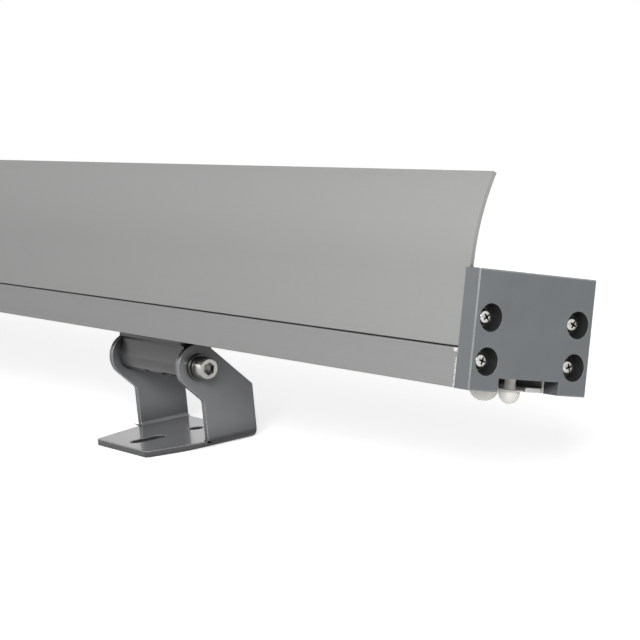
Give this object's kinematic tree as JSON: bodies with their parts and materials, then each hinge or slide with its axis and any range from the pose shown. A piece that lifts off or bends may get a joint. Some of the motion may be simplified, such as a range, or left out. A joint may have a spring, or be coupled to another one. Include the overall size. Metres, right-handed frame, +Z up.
{
  "type": "outdoor linear wall washer light",
  "caption": "Slim grey bar-shaped outdoor wall washer with a curved glare shield, flat end caps and two sliding swivel brackets on slotted feet.",
  "frame": {"origin": "half way between the round fixing holes of the two feet, on their undersides", "axes": "+X along the bar, towards the end with the plugs; -Y towards the front, the side of the glare shield; +Z up"},
  "size_m": [1, 0.0676, 0.132],
  "materials": {
    "grey_anodised": "satin anodised extrusion with fine lines along its length",
    "shield_anodised": "satin anodised extrusion with fine lines along its length",
    "cap_paint": "satin grey powder coat on a cut aluminium plate",
    "bracket_paint": "semi-gloss dark grey coating",
    "clear_glass": "clear toughened glass",
    "seal_rubber": "matt silicone",
    "gasket_rubber": "matt silicone sheet",
    "white_board": "white solder mask",
    "green_board": "green solder mask",
    "led_phosphor": "yellow phosphor under clear silicone",
    "lens_acrylic": "clear moulded acrylic",
    "component_plastic": "black moulded cases",
    "terminal_plastic": "green moulded plastic",
    "lead_sleeve": "red sleeve",
    "clear_plastic": "milky translucent moulding",
    "nut_plastic": "natural nylon",
    "steel": "bright stainless steel",
    "raw_aluminium": "mill finish",
    "washer_plastic": "black nylon"
  },
  "bodies": {
    "right_mount": {"bracket_right": "bracket_paint"},
    "right_hub": {"pivot_block_right": "bracket_paint", "slider_nut_right": "raw_aluminium", "lock_screws_right": "steel", "pivot_bolts_right": "steel", "spring_washers_right": "steel", "flat_washers_right": "steel", "friction_washers_right": "washer_plastic"},
    "lamp_head": {"body_extrusion": "grey_anodised", "glare_shield": "shield_anodised", "cover_glass": "clear_glass", "glass_seal": "seal_rubber", "led_boards": "white_board", "led_chips": "led_phosphor", "lenses": "lens_acrylic", "board_screws": "steel", "driver_board": "green_board", "driver_components": "component_plastic", "terminal_block": "terminal_plastic", "board_leads": "lead_sleeve", "breather_plug": "clear_plastic", "entry_plug": "clear_plastic", "plug_nuts": "nut_plastic", "end_cap_right": "cap_paint", "end_gasket_right": "gasket_rubber", "end_cap_screws_right": "steel", "end_cap_left": "cap_paint", "end_gasket_left": "gasket_rubber", "end_cap_screws_left": "steel"},
    "left_hub": {"pivot_block_left": "bracket_paint", "slider_nut_left": "raw_aluminium", "lock_screws_left": "steel", "pivot_bolts_left": "steel", "spring_washers_left": "steel", "flat_washers_left": "steel", "friction_washers_left": "washer_plastic"},
    "left_mount": {"bracket_left": "bracket_paint"}
  },
  "joints": [
    {"name": "tilt", "type": "hinge", "parent": "right_mount", "child": "right_hub", "pos_m": [0.236, -0.014, 0.0385], "axis": [1, 0, 0], "range_deg": [-31.5, 103.5]},
    {"name": "right_slide", "type": "slide", "parent": "right_hub", "child": "lamp_head", "axis": [1, 0, 0], "range_m": [-0.15, 0.15]},
    {"name": "left_slide", "type": "slide", "parent": "lamp_head", "child": "left_hub", "axis": [1, 0, 0], "range_m": [-0.15, 0.15]},
    {"name": "left_tilt", "type": "hinge", "parent": "left_hub", "child": "left_mount", "pos_m": [-0.236, -0.014, 0.0385], "axis": [1, 0, 0], "range_deg": [-103.5, 31.5]}
  ],
  "couplings": [
    {"joint": "left_tilt", "follows": "tilt", "ratio": -1}
  ]
}
